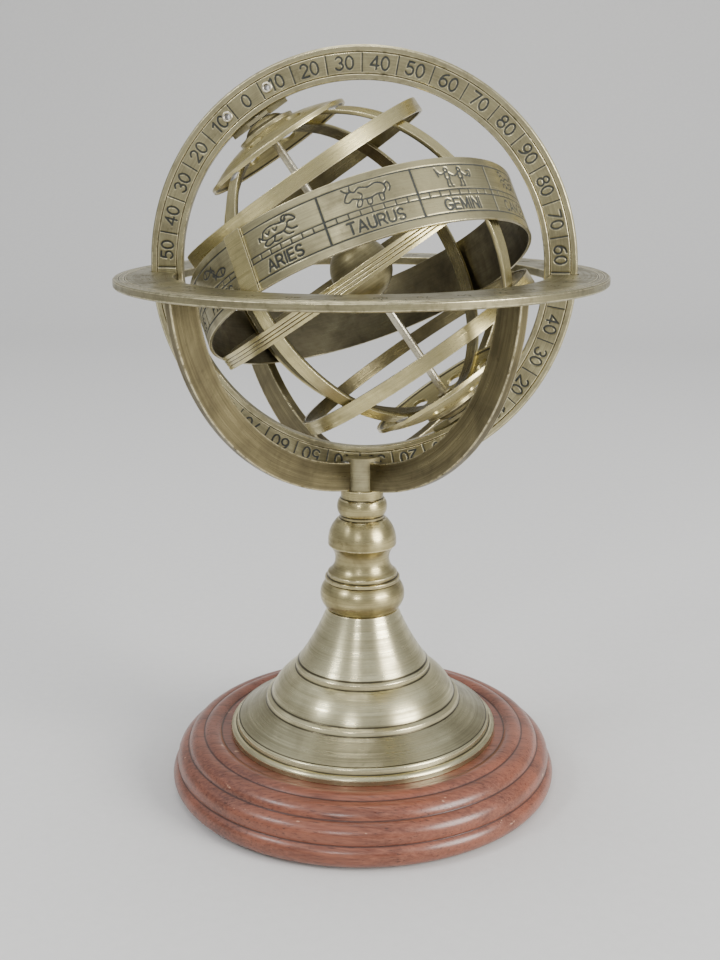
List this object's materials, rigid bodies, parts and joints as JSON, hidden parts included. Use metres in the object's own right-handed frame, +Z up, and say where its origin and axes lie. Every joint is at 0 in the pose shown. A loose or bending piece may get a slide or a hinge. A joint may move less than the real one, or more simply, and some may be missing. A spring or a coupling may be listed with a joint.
{
  "type": "armillary sphere",
  "caption": "Desktop brass armillary sphere: ringed globe on a leaning polar axis in a meridian ring, carried by a horizon ring, four-arm cradle, turned stem and wood base.",
  "frame": {"origin": "centre of the underside of the felt pad, on the stand's axis", "axes": "+Z up along the stem; the meridian ring lies in the XZ plane; the polar axis leans from +Z towards -X"},
  "size_m": [0.143, 0.143, 0.2233],
  "materials": {
    "antique_brass": "brushed, antiqued",
    "bright_brass": "satin, turned",
    "stained_wood": "satin lacquer over reddish-brown stain",
    "felt": "matt felt",
    "steel": "zinc-plated"
  },
  "bodies": {
    "stand": {"felt_pad": "felt", "wood_base": "stained_wood", "tie_washer": "steel", "tie_bolt": "steel", "bell_foot": "antique_brass", "stem": "antique_brass", "cradle_hub": "antique_brass", "cradle_arm_rear_right": "antique_brass", "cradle_arm_rear_left": "antique_brass", "cradle_arm_front_left": "antique_brass", "cradle_arm_front_right": "antique_brass", "horizon_ring": "antique_brass"},
    "meridian": {"meridian_ring": "antique_brass", "pole_strap_north": "antique_brass", "pole_strap_south": "antique_brass", "strap_rivets": "bright_brass"},
    "globe": {"axis_rod": "bright_brass", "centre_ball": "antique_brass", "axis_collar_north": "antique_brass", "axis_collar_south": "antique_brass", "polar_cap_north": "antique_brass", "polar_cap_south": "antique_brass", "polar_boss_north": "bright_brass", "polar_boss_south": "bright_brass", "colure_equinox": "antique_brass", "colure_solstice": "antique_brass", "equator_ring": "antique_brass", "tropic_north_ring": "antique_brass", "tropic_south_ring": "antique_brass", "zodiac_band": "antique_brass"}
  },
  "joints": [
    {"name": "meridian_tilt", "type": "hinge", "parent": "stand", "child": "meridian", "pos_m": [0, 0, 0.161], "axis": [0, -1, 0], "range_deg": [-18, 40]},
    {"name": "globe_spin", "type": "hinge", "parent": "meridian", "child": "globe", "pos_m": [0, 0, 0.161], "axis": [-0.5664, 0, 0.8241], "continuous": true}
  ]
}
